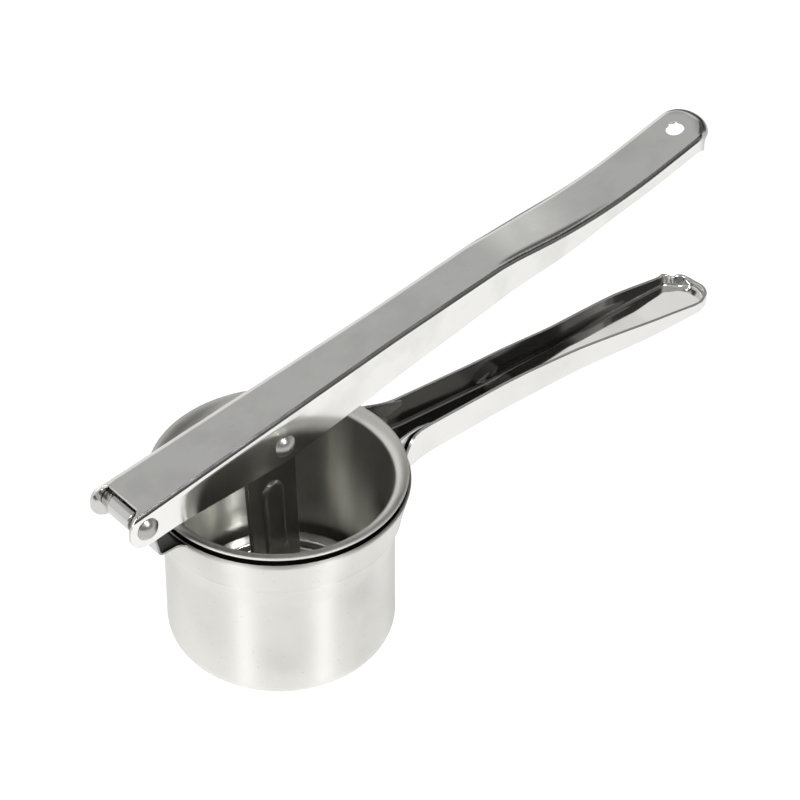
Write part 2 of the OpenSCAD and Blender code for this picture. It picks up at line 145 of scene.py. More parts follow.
def gridNormals(grid):
    # the surface's direction at each point of a grid, from the differences along its rows and columns
    n = np.cross(np.gradient(grid, axis=0), np.gradient(grid, axis=1))
    return n / np.maximum(np.linalg.norm(n, axis=-1, keepdims=True), 1e-9)


def thicken(points, normals, faces, sheet, values=None, shift=0.0, rim=0.16):
    # a second skin lies the sheet's thickness behind the first; open edges get a small rounded rim between the two;
    # the attribute "skin" is 0 on the first skin, 1 on the rim and 2 on the second skin
    flat = points.reshape(-1, 3)
    cells = np.round(flat * 2000).astype(np.int64)  # points within half a micrometre count as one
    _, first, back = np.unique(cells, axis=0, return_index=True, return_inverse=True)
    faces = back.ravel()[faces]
    front, n = flat[first], normals.reshape(-1, 3)[first]
    front = front + n * sheet * shift
    behind = front - n * sheet
    start, end = faces.ravel(), np.roll(faces, -1, axis=1).ravel()
    real = start != end
    start, end = start[real], end[real]
    size = len(front)
    pair = np.minimum(start, end) * size + np.maximum(start, end)
    _, which, count = np.unique(pair, return_inverse=True, return_counts=True)
    lone = count[which.ravel()] == 1  # an edge that only one face has is an open edge
    a, b = start[lone], end[lone]
    outward = np.zeros_like(front)
    run = front[b] - front[a]
    away = np.cross(run / np.maximum(np.linalg.norm(run, axis=1, keepdims=True), 1e-9), n[a])
    np.add.at(outward, a, away)
    np.add.at(outward, b, away)
    outward /= np.maximum(np.linalg.norm(outward, axis=1, keepdims=True), 1e-9)
    rows = [front, front - n * sheet * rim + outward * sheet * rim,
            behind + n * sheet * rim + outward * sheet * rim, behind]
    quads = [np.stack([b + i * size, a + i * size, a + (i + 1) * size, b + (i + 1) * size], axis=-1) for i in range(3)]
    faces = np.concatenate([faces, faces[:, ::-1] + 3 * size] + quads)
    points = np.concatenate(rows)
    used = np.zeros(len(points), dtype=bool)
    used[faces.ravel()] = True
    order = np.cumsum(used) - 1
    values = {key: np.tile(numbers.ravel()[first], 4)[used] for key, numbers in (values or {}).items()}
    values["skin"] = np.repeat([0.0, 1.0, 1.0, 2.0], size)[used]
    return points[used], order[faces], values


def sheetProfile(curve, sheet):
    # closes an open curve into a strip of sheet with rounded ends; the curve is the strip's right-hand face
    mid = offsetCurve(curve, sheet / 2)
    r = sheet / 2
    t = np.gradient(mid, axis=0)
    angle = np.degrees(np.arctan2(t[:, 1], t[:, 0]))
    startCap = arcPoints(mid[0], r, angle[0] + 90, angle[0] + 270, 7)
    endCap = arcPoints(mid[-1], r, angle[-1] - 90, angle[-1] + 90, 7)
    right, left = offsetCurve(mid, -r), offsetCurve(mid, r)
    return np.concatenate([startCap, right[1:-1], endCap, left[-2:0:-1]])


def sheetSkin(n, right, left):
    # the attribute "skin" for the points of a sheetProfile made from n points
    return np.concatenate([np.full(7, 1.0), np.full(n - 2, right), np.full(7, 1.0), np.full(n - 2, left)])


# sizes shared by several pieces
cup = dict(r=42.0, height=70.7, flare=6.0, flareZ=46.0, band=15.5, crease=2.3, corner=8.5, outlet=30.5, sheet=1.0,
           ridge=0.22, ridgeWide=0.7)
cup["mouth"] = cup["r"] + cup["flare"]
cup["creaseZ"] = cup["height"] - cup["band"]
joints = {j["name"]: j for j in frame["joints"]}
hinge = np.array(joints["lever_hinge"]["pos_m"]) / mm
pivot = np.array(joints["plunger_pivot"]["pos_m"]) / mm


def cupWall(z):
    # straight, then r + 2.3 t^1.3 up to the crease, then a straight band; the crease itself is a low ridge
    t = np.clip((z - cup["flareZ"]) / (cup["creaseZ"] - cup["flareZ"]), 0, 1)
    band = np.clip((z - cup["creaseZ"]) / cup["band"], 0, 1)
    ridge = cup["ridge"] * np.exp(-((z - cup["creaseZ"]) / cup["ridgeWide"]) ** 2)
    return cup["r"] + cup["crease"] * t ** 1.3 + (cup["flare"] - cup["crease"]) * band + ridge


# node graphs
class Wire:
    # a socket that is reckoned with like a number: each sign makes a Math node
    def __init__(self, graph, node, socket):
        self.graph, self.node, self.socket = graph, node, socket

    def math(self, operation, other=None, turned=False):
        pair = [other, self] if turned else [self, other]
        values = {i: v for i, v in enumerate(pair) if v is not None}
        return self.graph.make("ShaderNodeMath", dict(operation=operation), values)

    def __add__(self, other):
        return self.math("ADD", other)

    def __radd__(self, other):
        return self.math("ADD", other, True)

    def __sub__(self, other):
        return self.math("SUBTRACT", other)

    def __rsub__(self, other):
        return self.math("SUBTRACT", other, True)

    def __mul__(self, other):
        return self.math("MULTIPLY", other)

    def __rmul__(self, other):
        return self.math("MULTIPLY", other, True)

    def part(self, name):
        return Wire(self.graph, self.node, self.node.outputs[name])


class Graph:
    def __init__(self, tree):
        self.tree = tree
        tree.nodes.clear()

    def make(self, kind, settings=None, inputs=None, out=0):
        # one node: its settings first, then its inputs, each a value or a wire
        node = self.tree.nodes.new(kind)
        for key, value in (settings or {}).items():
            setattr(node, key, value)
        for key, value in (inputs or {}).items():
            if isinstance(value, Wire):
                self.tree.links.new(value.socket, node.inputs[key])
            else:
                node.inputs[key].default_value = value
        return Wire(self, node, node.outputs[out] if node.outputs else None)

    def ramp(self, value, low, high, toLow=0.0, toHigh=1.0):
        # a smooth step from toLow to toHigh as value goes from low to high
        return self.make("ShaderNodeMapRange", dict(interpolation_type="SMOOTHSTEP"),
                         {"Value": value, "From Min": low, "From Max": high, "To Min": toLow, "To Max": toHigh})

    def stretch(self, vector, scale):
        return self.make("ShaderNodeVectorMath", dict(operation="MULTIPLY"), {0: vector, 1: scale})

    def noise(self, vector, scale, detail=2.0, rough=0.5):
        return self.make("ShaderNodeTexNoise", None,
                         {"Vector": vector, "Scale": scale, "Detail": detail, "Roughness": rough})

    def mixColour(self, factor, a, b):
        return self.make("ShaderNodeMix", dict(data_type="RGBA"), {"Factor": factor, 6: a, 7: b}, out=2)


def grey(v, warm=0.0):
    # a grey with some of its blue, and a little of its green, taken out by warm
    return (v, v * (1 - 0.15 * warm), v * (1 - warm), 1.0)


def steel(name, look):
    # stainless steel: long faint stains, grain along one way, and a skin whose small waves bend what it mirrors; where
    # a look asks, painted shade on the second skin and round a tip
    material = bpy.data.materials.new(name)
    material.use_nodes = True
    g = Graph(material.node_tree)
    place = g.stretch(g.make("ShaderNodeTexCoord").part("Object"), (1000.0, 1000.0, 1000.0))
    axes = g.make("ShaderNodeSeparateXYZ", None, {0: place})
    placeX = axes.part("X")
    shade = lambda key: grey(look["value"] * look[key], look["warm"])
    stain = g.ramp(g.noise(g.stretch(place, look["stainRun"]), look["stainScale"], 3.0), *look["stainEdge"])
    grain = g.noise(g.stretch(place, look["grain"]), 1.0, 3.0, 0.6)
    speck = g.ramp(g.noise(place, look["speckScale"], 2.0), *look["speckEdge"])
    colour = g.mixColour(stain * look["stain"], grey(look["value"], look["warm"]), shade("stainShade"))
    colour = g.mixColour(speck * look["speck"], colour, shade("speckShade"))
    rough = look["rough"] + stain * look["roughStain"] + (grain - 0.5) * look["roughGrain"]
    if look["edge"]:
        # cut edges are duller and darker; the inside of a deep channel or gap gets painted shade, its colour darkened
        # towards near black on the second skin
        skin = g.make("ShaderNodeAttribute", dict(attribute_name="skin")).part("Fac")
        edge = 1 - (skin - 1).math("ABSOLUTE")
        inner = g.ramp(placeX, *look["innerShadeRun"], 1.0, 0.0)
        if look["wallShadeRun"]:
            wall = g.make("ShaderNodeAttribute", dict(attribute_name="wall")).part("Fac")
            inner = inner.math("MAXIMUM", wall * g.ramp(placeX, *look["wallShadeRun"], 1.0, 0.0))
        inner = g.ramp(skin, 1.0, 2.0) * inner
        colour = g.mixColour(edge * look["edge"], colour, grey(look["edgeGrey"], look["warm"]))
        colour = g.mixColour(inner * look["inner"], colour, grey(look["innerShadeGrey"], look["warm"]))
        rough = rough + edge * look["edgeRough"]
    if look["lip"]:
        # the lip is a brighter grey than the wall below it
        low, high, bright = look["lip"]
        colour = g.mixColour(g.ramp(axes.part("Z"), low, high), colour, grey(bright, look["warm"]))
    if look["tip"]:
        # painted shade round the drawn tip, by the distance from the middle of its curve
        middleX, inside, outside, depth = look["tip"]
        offset = g.make("ShaderNodeVectorMath", dict(operation="SUBTRACT"), {0: place, 1: (middleX, 0.0, 0.0)})
        flat = g.stretch(offset, (1.0, 1.0, 0.0))
        away = g.make("ShaderNodeVectorMath", dict(operation="LENGTH"), {0: flat}).part("Value")
        tipShade = g.ramp(away, inside, outside) * g.ramp(placeX, middleX, middleX + look["tipShadeFade"])
        colour = g.mixColour(tipShade * depth, colour, grey(look["tipShadeGrey"], look["warm"]))
    height = grain * look["grainDepth"] + g.noise(place, look["waveScale"], 1.0) * look["waveDepth"]
    if look["peel"]:
        # the stretched bends are finely pitted
        fold = g.make("ShaderNodeAttribute", dict(attribute_name="fold")).part("Fac")
        along = g.ramp(placeX, *look["peelRun"])
        height = height + fold * along * g.noise(place, look["peelScale"], 2.0) * look["peel"]
    normal = g.make("ShaderNodeBump", None, {"Strength": 1.0, "Distance": mm, "Height": height})
    shader = g.make("ShaderNodeBsdfPrincipled", None, {
        "Base Color": colour, "Metallic": 1.0, "Roughness": rough, "Normal": normal,
        "Anisotropic": look["aniso"], "Anisotropic Rotation": look["turn"]})
    g.make("ShaderNodeOutputMaterial", None, {"Surface": shader})
    return material


# lengths in millimetres; a run is a pair of places between which something comes or goes, along X for the two runs
# of painted shade and for peelRun and up Z for lip, which ends with its own grey; tip is (middle's X, inner and outer
# radius, depth) of the painted shade round a drawn tip
plain = dict(value=0.8, warm=0.035, rough=0.1, aniso=0.0, turn=0.0,
             grain=(0.02, 1.2, 1.2), grainDepth=0.002, roughGrain=0.05, waveScale=0.03, waveDepth=0.06,
             stain=0.3, stainScale=0.035, stainRun=(1.0, 1.0, 1.0), stainEdge=(0.42, 0.68), stainShade=0.8,
             roughStain=0.05, speck=0.0, speckScale=0.9, speckEdge=(0.66, 0.74), speckShade=0.55,
             edge=0.0, edgeGrey=0.2, edgeRough=0.35, inner=0.0, innerShadeGrey=0.03, innerShadeRun=(300.0, 400.0), wallShadeRun=None,
             lip=None, tip=None, tipShadeGrey=0.22, tipShadeFade=6.0, peel=0.0, peelScale=1.6, peelRun=(40.0, 90.0))
# inner paints shade on a piece's second skin: the cup's inside, the basket's outside that faces the cup, the lever's
# inside, the handle's inside towards its root and its walls' inner faces until shortly before the tip, and the top of
# the tongue's level root
looks = dict(
    cupPlain=dict(plain, value=0.74, rough=0.16, speck=0.1),
    cupSatin=dict(plain, value=0.785, warm=0.055, rough=0.34, roughGrain=0.1, aniso=0.95, turn=0.25,
                  grain=(0.03, 0.03, 2.4), grainDepth=0.006, waveDepth=0.0, stain=0.12, speck=0.3,
                  edge=0.25, inner=0.8),
    tongueSteel=dict(plain, value=0.62, rough=0.16, speck=0.1, edge=0.4, inner=0.88, innerShadeRun=(-61.0, -64.0)),
    # the lever's drawn tip is darkened by painted shade
    leverSteel=dict(plain, value=0.81, rough=0.1, roughStain=0.05, stain=0.45, stainScale=0.06, waveDepth=0.02,
                    peel=0.035, speck=0.15, edge=0.25, inner=0.3, tip=(190.0, 4.5, 9.0, 0.6)),
    handleSteel=dict(plain, value=0.8, rough=0.07, roughStain=0.03, waveDepth=0.03, peel=0.02, peelRun=(110.0, 150.0),
                     edge=0.4, inner=0.5, innerShadeRun=(104.0, 114.0), wallShadeRun=(148.0, 176.0)),
    basketSteel=dict(plain, value=0.56, warm=0.07, rough=0.32, aniso=0.6, turn=0.25, lip=(70.0, 73.5, 0.82),
                     grain=(0.04, 0.04, 2.0), grainDepth=0.004, waveDepth=0.0, stain=0.9, stainScale=0.09,
                     stainRun=(1.0, 1.0, 0.1), speck=0.15, edge=0.1, inner=0.8),
    discSteel=dict(plain, value=0.6, warm=0.05, rough=0.14),
    strutSteel=dict(plain, value=0.56, warm=0.08, rough=0.2, grain=(1.2, 1.2, 0.03), roughGrain=0.1, edge=0.7),
    rivetSteel=dict(plain, value=0.44, rough=0.3, waveDepth=0.0),
    sleeveSteel=dict(plain, value=0.56, rough=0.22, waveDepth=0.0))
steels = {name: steel(name, look) for name, look in looks.items()}
print("materials made")


# outer cup
def cupCurve():
    # outside of the wall from the outlet to the rim: flat ring, quarter circle, straight, flare, band
    c = cup["corner"]
    stops = [c, cup["flareZ"], cup["creaseZ"] - 2, cup["creaseZ"] + 2, cup["height"] - cup["sheet"] / 2]
    z = np.concatenate([np.linspace(a, b, n)[1:] for a, b, n in zip(stops, stops[1:], (12, 18, 21, 10))])
    corner = arcPoints((cup["r"] - c, c), c, -90, 0, 17)
    return np.concatenate([[[cup["outlet"] + cup["sheet"] / 2, 0]], corner, np.stack([cupWall(z), z], axis=-1)])


points, faces = revolve(sheetProfile(cupCurve(), cup["sheet"]), 256)
skin = np.tile(sheetSkin(len(cupCurve()), 0, 2), 256)
dress(makeMesh("cupShell", points, faces, dict(skin=skin)), steels["cupSatin"], "holder", "outer_cup")

tongue = dict(half=6.0, fillet=3.5, lean=78.0, bend=2.0, wrap=4.13, roll=285.0)


def tonguePath():
    # middle of the sheet seen from the side: level, bent up by the lean, straight, rolled over the hinge
    lean, level = math.radians(tongue["lean"]), cup["height"] - cup["sheet"] / 2
    touchZ = hinge[2] + tongue["wrap"] * math.cos(lean)
    cornerX = hinge[0] + tongue["wrap"] * math.sin(lean) + (touchZ - level) / math.tan(lean)
    bendC = (cornerX + tongue["bend"] * math.tan(lean / 2), level + tongue["bend"])
    bent = arcPoints(bendC, tongue["bend"], -90, -90 - tongue["lean"], 8)
    touch = 90 - tongue["lean"]
    rolled = arcPoints((hinge[0], hinge[2]), tongue["wrap"], touch, touch + tongue["roll"], 60)
    rise = np.linspace(bent[-1], rolled[0], 12)[1:-1]
    return np.concatenate([bent, rise, rolled])


def tongueStrip():
    # first a root that widens by fillets onto the rim circle, then the path at the full width
    rim, fillet = cup["mouth"] - cup["sheet"] / 2, tongue["fillet"]
    level = cup["height"] - cup["sheet"] / 2
    path = tonguePath()
    v = np.linspace(-1, 1, 17)[None, :]
    d = np.linspace(0, fillet, 12)[:, None]
    y = v * (tongue["half"] + fillet - np.sqrt(np.maximum(fillet ** 2 - (fillet - d) ** 2, 0)))
    blend = d / fillet
    x = -np.sqrt(rim ** 2 - y ** 2) * (1 - blend) - rim * blend - d
    root = np.stack([x, y, level + 0 * x], axis=-1)
    rest = np.concatenate([np.linspace([-rim - fillet, level], path[0], 4)[1:-1], path])
    strip = np.stack([rest[:, :1] + 0 * v, v * tongue["half"] + 0 * rest[:, :1], rest[:, 1:] + 0 * v], axis=-1)
    grid = np.concatenate([root, strip])
    return grid, gridFaces(*grid.shape[:2])


grid, faces = tongueStrip()
points, faces, values = thicken(grid, gridNormals(grid), faces, cup["sheet"], shift=0.5)
dress(makeMesh("cupTongue", points, faces, values, smoothAngle=60), steels["tongueSteel"], "holder")
print("cup made")


# channels: lever and lower handle
def bells(angle, places):
    # a sum of bells h exp(-((angle - at) / wide)^2), brought to nothing at the tip's two ends
    fade = np.minimum(1, (90 - np.abs(angle)) / 8)
    return sum(h * np.exp(-((angle - at) / wide) ** 2) for at, wide, h in places) * fade


def pucker(grid, angle, level, spec):
    # puckers of the drawn tip: a push outwards and up that is full at the open edge, and one that is full at the foot
    a = np.radians(angle)
    edge, foot = bells(angle, spec["puckers"]) * (1 - level), bells(angle, spec["foot"]) * level
    away = np.stack([np.cos(a), np.sin(a), 0 * a], axis=-1)
    return grid + (edge + foot)[..., None] * away + (edge * spec["tipRise"])[..., None] * [0, 0, 1]


def channel(columns, spec, limits=None):
    # outline (near side, round tip, far side) times a section (wall, bend), then a web from side to side;
    # round the bend: inset = b (1 - cos t) and height = crown - b (1 - sin t); rows lie closer by the open edge
    b, d = spec["bend"], spec["way"]
    x = columns[:, None]
    wall = np.concatenate([[0, 0.012], np.linspace(0.05, 1, spec["wallRows"])])[None, :-1]
    t = np.radians(np.concatenate([0 * wall[0], np.linspace(0, 90, spec["bendRows"])]))[None, :]
    share = np.concatenate([wall, np.ones((1, spec["bendRows"]))], axis=1)
    tip = np.radians(np.linspace(-90, 90, 2 * spec["tipRows"] + 1))[1:-1, None]

    def heights(px, bend=b):
        # edge + (root - edge) * share up the wall, then bend * sin t round the bend, where root = crown - bend
        edge, root = spec["edge"](px), spec["crown"](px) - d * bend
        return edge + (root - edge) * share + d * bend * np.sin(t)

    side = limits(x, heights(x + 0 * t), share) if limits else heights(x + 0 * t)
    turned = np.arcsin(np.clip((side - spec["crown"](x)) * d / b + 1, 0, 1))
    near = np.stack([x + 0 * side, b * (1 - np.cos(turned)) - spec["half"](x), side], axis=-1)
    nearOut = np.stack([0 * turned, -np.cos(turned), d * np.sin(turned)], axis=-1)
    mirror = np.array([1, -1, 1])
    noseB = b + spec.get("noseBend", 0) * np.cos(tip) ** 2
    radius = spec["tipR"] - noseB * (1 - np.cos(t))
    px = spec["tipX"] + radius * np.cos(tip)
    nose = np.stack([px, radius * np.sin(tip), heights(px, noseB)], axis=-1)
    noseOut = np.stack([np.cos(tip) * np.cos(t), np.sin(tip) * np.cos(t), d * np.sin(t) + 0 * tip], axis=-1)
    nose = pucker(nose, np.degrees(tip), share, spec)
    grid = np.concatenate([near, nose, near[::-1] * mirror])
    out = np.concatenate([nearOut, noseOut, nearOut[::-1] * mirror])
    fold = np.sin(2 * np.concatenate([turned, t + 0 * tip, turned[::-1]])) ** 2
    start = spec.get("webStart", 0)
    left, right = [np.concatenate([side[start:, -1], tipSide[:spec["tipRows"], -1]])[:, None]
                   for side, tipSide in ((near, nose), (near * mirror, nose[::-1]))]
    v = np.linspace(0, 1, spec["webRows"])[None, :, None]
    web = left + (right - left) * (1 - v)
    if "rib" in spec:
        inset = (right - left)[..., 1] * np.minimum(v, 1 - v)[..., 0]
        web = web + spec["rib"](left[..., 0], inset)[..., None] * [0, 0, 1]
    up = np.array([0, 0, d]) + 0 * web
    points, faces = joinGrids([(grid, gridFaces(*grid.shape[:2])[:, ::d]), (web, gridFaces(*web.shape[:2])[:, ::d])])
    # wall is 1 on the walls and the tip and 0 on the web; the material uses it to paint shade on the walls' inner faces
    return points, np.concatenate([out.reshape(-1, 3), up.reshape(-1, 3)]), faces, \
        dict(fold=np.concatenate([fold.ravel(), 0 * web[..., 0].ravel()]),
             wall=np.concatenate([1 + 0 * fold.ravel(), 0 * web[..., 0].ravel()]))


lever = dict(slope=math.tan(math.radians(9)), top0=hinge[2] + 7.8, ear=7.5, notch=-67.5, sheet=1.2,
             neck=95.0, grip=150.0, sag=4.5, holeX=188.4, holeZ=138.829, holeR=3.6, earFill=0.97, earLift=0.3,
             fineX=178.0,
             depths=[(-54, 15.3), (-4.6, 21.5), (13.4, 20.6), (95, 15.2), (150, 6.8)],
             halves=[(-73.5, 12), (48, 9.7), (105, 9.9), (121, 10.9)])


def leverTop(x):
    # a straight slope less a sag of sin^1.4 over the grip
    t = np.clip((x - lever["neck"]) / (2 * (lever["grip"] - lever["neck"] - 1)), 0, 1)
    return lever["top0"] + (x - hinge[0]) * lever["slope"] - lever["sag"] * np.sin(math.pi * t) ** 1.4


leverSpec = dict(bend=3.2, way=1, wallRows=15, bendRows=9, tipRows=24, webRows=31, tipR=10.9, tipX=190.6, noseBend=3.0,
                 puckers=[(-77, 6, 0.6), (-56, 10, -1.1), (60, 12, -0.4)], foot=[], tipRise=-0.9,
                 half=lambda x: chain(x, lever["halves"]), crown=leverTop,
                 edge=lambda x: leverTop(x) - chain(x, lever["depths"], 5.0))


def earLimits(x, z, share):
    # before the hinge the cheeks end on the ear, so their heights shrink into a half-ellipse
    reach = np.sqrt(np.maximum(1 - (np.minimum(x - hinge[0], 0) / lever["ear"]) ** 2, 0))
    low, high = hinge[2] - lever["ear"] * reach, hinge[2] + (lever["ear"] + lever["earLift"]) * reach
    foot = leverSpec["edge"](x)
    cut = low + (high - low) * (z - foot) / (leverTop(x) - foot)
    return np.where(x < hinge[0], cut, z)


ear = hinge[0] - lever["ear"] * lever["earFill"] * np.cos(np.radians(np.linspace(0, 78.5, 22)))
columns = np.concatenate([ear, np.linspace(lever["notch"], lever["fineX"], 160),
                          np.linspace(lever["fineX"], leverSpec["tipX"], 24)[1:]])
points, normals, faces, values = channel(columns, dict(leverSpec, webStart=len(ear)), earLimits)
tilt = math.atan(leverTop(190.0) - leverTop(189.0))  # slope of the plate round the hanging hole
points, faces = punch(points, faces, np.array([lever["holeX"], 0, lever["holeZ"]]),
                      [(math.cos(tilt), 0, math.sin(tilt)), (0, 1, 0)], lever["holeR"])
points, faces, values = thicken(points, normals, faces, lever["sheet"], values)
piece = makeMesh("leverChannel", points, faces, values, smoothAngle=60)
dress(piece, steels["leverSteel"], "lever", "lever")

handle = dict(rootZ=54.7, fall=0.012, corner=6.0, front=49.5, frontZ=68.5, sheet=1.2, join=60.0, gap=0.03, ribFlank=1.1,
              ribs=[(102, 0), (112, 2.3), (142, 2.5), (180, 0)],
              puckers=[(80, 10, 0.6), (60, 9, -1.0), (42, 11, 0.1), (8, 24, -0.8), (-60, 14, -0.3)],
              foot=[(50, 22, -1.8)],
              depths=[(48, 13.8), (111, 12.9), (154, 10.0), (171, 8.6), (200, 4.6)],
              halves=[(42, 14.9), (48, 13.4), (58, 10.3), (99, 8.7), (137, 8.7), (171, 11.2)])


def handleFloor(x):
    # a straight line that falls a little towards the tip
    return handle["rootZ"] - handle["fall"] * (x - cup["mouth"])


def handleRib(x, inset):
    # along the waist the floor is pressed up: a flat-topped rib with smooth flanks that fades out before the tip
    t = np.clip(inset / handle["ribFlank"], 0, 1)
    return chain(x, handle["ribs"], 3.0) * t * t * (3 - 2 * t)


def handleHalf(x):
    # half the width: straight lines between the stated places, with eased corners
    return chain(x, handle["halves"], 5.0)


handleSpec = dict(bend=2.2, way=-1, wallRows=13, bendRows=9, tipRows=26, webRows=23, tipR=11.2, tipX=194.7,
                  half=handleHalf, crown=handleFloor, rib=handleRib, puckers=handle["puckers"], foot=handle["foot"],
                  tipRise=0.4,
                  edge=lambda x: handleFloor(x) + chain(x, handle["depths"]))


def slideX(x, y, z):
    # the front of each row slides along X to the cup's wall: x = sqrt(wall(z)^2 - y^2)
    wall = np.sqrt(np.maximum((cupWall(z) + handle["gap"]) ** 2 - y ** 2, 0))
    t = np.clip((handle["join"] - x) / (handle["join"] - cup["r"]), 0, 1)
    return np.where(x < handle["join"], handle["join"] + (wall - handle["join"]) * t, x)


def handleLimits(x, z, share):
    # the walls' upper front corner is rounded off, at the place where each column ends up after its slide
    low, edge, r = handleFloor(x) + handleSpec["bend"], handleSpec["edge"](x), handle["corner"]
    for step in range(4):  # the slide and the height depend on each other, and settle within four rounds
        over = np.clip((handle["front"] + r - slideX(x + 0 * z, handleHalf(x) + 0 * z, z)[:, :1]) / r, 0, 1)
        top = np.minimum(edge, handle["frontZ"] - r + r * np.sqrt(1 - over ** 2))
        z = np.where(share < 1, low + (top - low) * (1 - share), z)
    return z


columns = np.concatenate([np.linspace(cup["r"], handle["join"], 46),
                          np.linspace(handle["join"], handleSpec["tipX"], 110)[1:]])
points, normals, faces, values = channel(columns, handleSpec, handleLimits)
points[:, 0] = slideX(*points.T)
points, faces, values = thicken(points, normals, faces, handle["sheet"], values)
piece = makeMesh("handleChannel", points, faces, values, smoothAngle=40)
dress(piece, steels["handleSteel"], "holder", "lower_handle")

web = dict(sheet=1.0, gap=1.25, start=44.0, end=64.0, levelTo=49.0, kneeX=58.0, sinkX=65.0, step=0.8,
           footX=42.0, footZ=57.5, endDepth=2.0, overlap=0.4)


def webGrid():
    # two upright sheets inside the handle's walls: the upper edge is a line through knots, from the rim's height down
    # to the walls' edge, the foot is a straight line, and the front is x = sqrt(wall(z)^2 - y^2)
    edge = lambda x: float(handleSpec["edge"](np.array(x)))
    knots = [(web["levelTo"], cup["height"]), (web["kneeX"], edge(web["kneeX"]) + web["step"]),
             (web["sinkX"], edge(web["sinkX"]) - web["step"])]
    upper = lambda x: chain(x, knots, 3.0)
    x = np.linspace(web["start"], web["end"], 40)[:, None]
    v = np.linspace(0, 1, 14)[None, :]
    top, end = upper(x), float(upper(np.array(web["end"])))
    low = np.interp(x, [web["footX"], web["end"]], [web["footZ"], end - web["endDepth"]])
    z = low + (top - low) * v
    y = handleHalf(x) - web["gap"] + 0 * v
    wall = np.sqrt(np.maximum((cupWall(z) - web["overlap"]) ** 2 - y ** 2, 0))
    px = np.maximum(x + 0 * z, wall)
    grid = np.stack([px, y, z], axis=-1)
    return joinGrids([(grid, gridFaces(40, 14)[:, ::-1]), (grid * [1, -1, 1], gridFaces(40, 14))])


points, faces = webGrid()
points, faces, values = thicken(points, np.sign(points) * [0, 1, 0], faces, web["sheet"])
dress(makeMesh("rimWebs", points, faces, values, smoothAngle=60), steels["cupPlain"], "holder")
print("channels made")


# basket
basket = dict(r=40.8, sheet=0.7, corner=4.0, flare=1.5, wallTop=70.3, lipW=4.55, lipRise=3.4, floor=3.494,
              holeD=3.2, pitch=5.8, rings=4)  # rings of holes lie a pitch apart, with 6 more holes in each


def basketCurve():
    # outside of the sheet: floor, quarter circle, straight, r + 1.5 t^1.2, quarter-ellipse lip
    b = basket
    z = np.concatenate([np.linspace(b["floor"] + b["corner"], cup["flareZ"], 10)[1:],
                        np.linspace(cup["flareZ"], b["wallTop"], 20)[1:]])
    wall = b["r"] + b["flare"] * np.clip((z - cup["flareZ"]) / (b["wallTop"] - cup["flareZ"]), 0, 1) ** 1.2
    a = np.radians(np.linspace(0, 90, 14))[1:]
    lip = np.stack([b["r"] + b["flare"] + b["lipW"] * (1 - np.cos(a)),
                    b["wallTop"] + (b["lipRise"] - b["sheet"]) * np.sin(a)], axis=-1)
    floor = np.stack([np.linspace((b["rings"] + 0.5) * b["pitch"], b["r"] - b["corner"], 6)[:-1],
                      np.full(5, b["floor"])], axis=-1)
    return np.concatenate([floor, arcPoints((b["r"] - b["corner"], b["floor"] + b["corner"]), b["corner"], -90, 0, 12),
                           np.stack([wall, z], axis=-1), lip])


def pressFloor():
    # each hole sits in its own cell between two circles and two radii: down the cell, the hole's wall, and back
    b = basket
    parts = []
    u = np.linspace(0, 1, 49)[:-1]
    for k in range(b["rings"] + 1):
        for i in range(max(6 * k, 1)):
            if k == 0:
                a = 2 * math.pi * u
                edge = b["pitch"] / 2 * np.stack([np.cos(a), np.sin(a)], axis=-1)
                centre = np.zeros(2)
            else:
                width = math.pi / 3 / k
                a0, r0 = width * i, k * b["pitch"]
                side = np.floor(u * 4)
                f = u * 4 - side
                aa = a0 + width * np.choose(side.astype(int), [f - 0.5, 0.5 + 0 * f, 0.5 - f, -0.5 + 0 * f])
                rr = r0 + b["pitch"] * np.choose(side.astype(int), [-0.5 + 0 * f, f - 0.5, 0.5 + 0 * f, 0.5 - f])
                edge = np.stack([rr * np.cos(aa), rr * np.sin(aa)], axis=-1)
                centre = r0 * np.array([math.cos(a0), math.sin(a0)])
            away = edge - centre
            rim = centre + away / np.linalg.norm(away, axis=1, keepdims=True) * b["holeD"] / 2
            z0, z1 = b["floor"], b["floor"] + b["sheet"]
            rows = [(edge, z0), (rim, z0), (rim, z1), (edge, z1)]
            cell = np.stack([np.concatenate([p, np.full((len(p), 1), z)], axis=1) for p, z in rows], axis=1)
            parts.append((cell, gridFaces(48, 4, True, False)))
    return joinGrids(parts)


points, faces = revolve(sheetProfile(basketCurve(), basket["sheet"]), 256)
skin = np.tile(sheetSkin(len(basketCurve()), 2, 0), 256)
dress(makeMesh("basketWall", points, faces, dict(skin=skin)), steels["basketSteel"], "basket", "basket")
points, faces = pressFloor()
dress(makeMesh("basketFloor", points, faces, turnOut=False), steels["basketSteel"], "basket")
print("basket made")


# plunger
plunger = dict(headR=10.95, footHalf=10.0, sheet=2.0, bend=2.0, footLen=14.0,
               beadHalf=4.4, beadH=1.1, beadFlank=0.9, beadTop=25.0, beadPoint=0.6, beadRun=5.0, footRise=3.0,
               well=3.3, discR=37.5, wellR=33.5, discSheet=1.2, discBend=2.2, discEdge=0.6, discX=-0.5, restZ=5.294)
plunger["lean"] = math.atan((plunger["discX"] - pivot[0]) / (pivot[2] - plunger["restZ"]))
discZ = plunger["restZ"] + plunger["wellR"] * math.sin(plunger["lean"])
plunger["length"] = (pivot[2] - discZ) / math.cos(plunger["lean"]) - plunger["discSheet"]


def alongStrut(p):
    # from the plunger's own frame, origin on the pivot and Z up the strut, to the object's: a turn about Y by the lean
    c, s = math.cos(plunger["lean"]), math.sin(plunger["lean"])
    x, y, z = p[..., 0], p[..., 1], p[..., 2]
    return np.stack([x * c - z * s, y, x * s + z * c], axis=-1) + pivot


